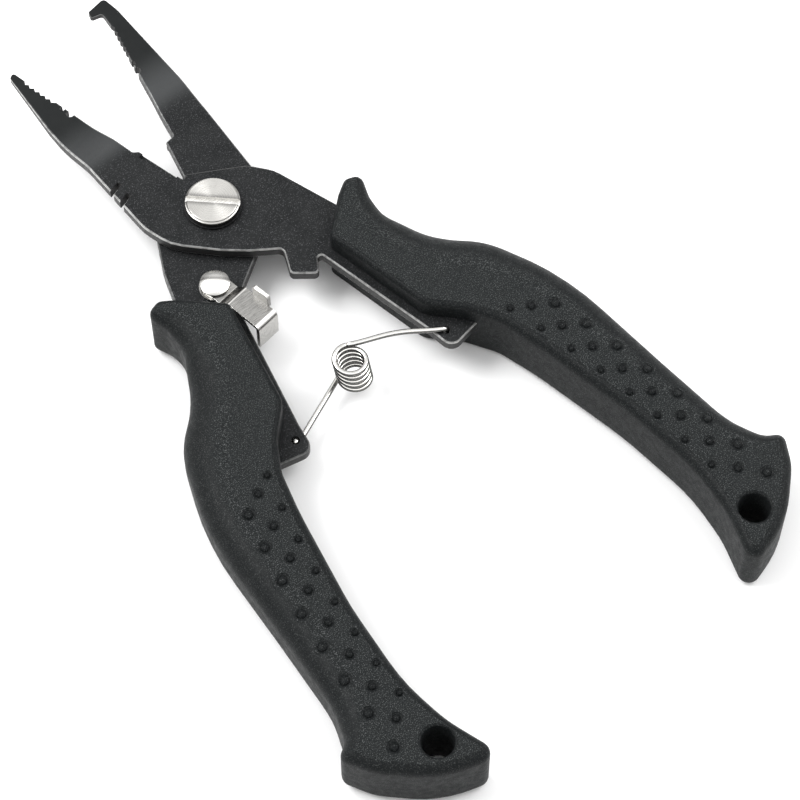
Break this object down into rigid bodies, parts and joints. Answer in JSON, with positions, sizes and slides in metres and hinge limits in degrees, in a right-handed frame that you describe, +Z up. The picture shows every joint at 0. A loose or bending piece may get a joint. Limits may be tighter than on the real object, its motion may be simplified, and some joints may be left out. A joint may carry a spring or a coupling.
{
  "type": "fishing pliers",
  "caption": "Open split-ring fishing pliers with crossed dark steel levers, moulded black grips, a wire torsion spring, a slotted pivot screw and a swinging sheet-steel latch.",
  "frame": {"origin": "centre of the underside of the box round the open pliers, on the surface they lie on", "axes": "+Y along the pliers towards the jaws, +X towards the front lever's grip, +Z up through the pivot from nut to screw head"},
  "size_m": [0.102, 0.1766, 0.014],
  "materials": {
    "dark_steel": "dark blackened stainless stamping with worn bright edges",
    "bright_steel": "bright stainless, fine brushed",
    "black_oxide": "black oxide",
    "grip_elastomer": "matt moulded elastomer with a fine leather grain"
  },
  "bodies": {
    "front_lever": {"front_lever_plate": "dark_steel", "front_grip": "grip_elastomer", "pivot_screw": "bright_steel", "pivot_washer": "black_oxide", "pivot_nut": "bright_steel"},
    "back_lever": {"back_lever_plate": "dark_steel", "back_grip": "grip_elastomer", "latch_rivet": "bright_steel", "latch_washer": "bright_steel"},
    "latch": {"latch_lever": "bright_steel"},
    "spring": {"return_spring": "bright_steel"},
    "spring_lower_leg": {"return_spring_lower_leg": "bright_steel"}
  },
  "joints": [
    {"name": "handle_pivot", "type": "hinge", "parent": "front_lever", "child": "back_lever", "pos_m": [0, 0.034, 0.007], "axis": [0, 0, 1], "range_deg": [0, 24.6], "stiffness_Nm_per_rad": 0.5, "springref_deg": -11.46, "deforming": ["return_spring", "return_spring_lower_leg"]},
    {"name": "latch_pivot", "type": "hinge", "parent": "back_lever", "child": "latch", "pos_m": [-0.0099, 0.0201, 0.007], "axis": [0, 0, 1], "range_deg": [0, 16]},
    {"name": "spring_swing", "type": "hinge", "parent": "front_lever", "child": "spring", "pos_m": [0.0179, -0.01565, 0.0101], "axis": [0, 0, 1], "range_deg": [-38.2, 0]},
    {"name": "spring_wind", "type": "hinge", "parent": "spring", "child": "spring_lower_leg", "pos_m": [0, -0.0098, 0.007], "axis": [0, 0, 1], "range_deg": [0, 100.9]}
  ],
  "couplings": [
    {"joint": "spring_swing", "follows": "handle_pivot", "ratio": -1.5475},
    {"joint": "spring_wind", "follows": "handle_pivot", "ratio": 4.095}
  ]
}
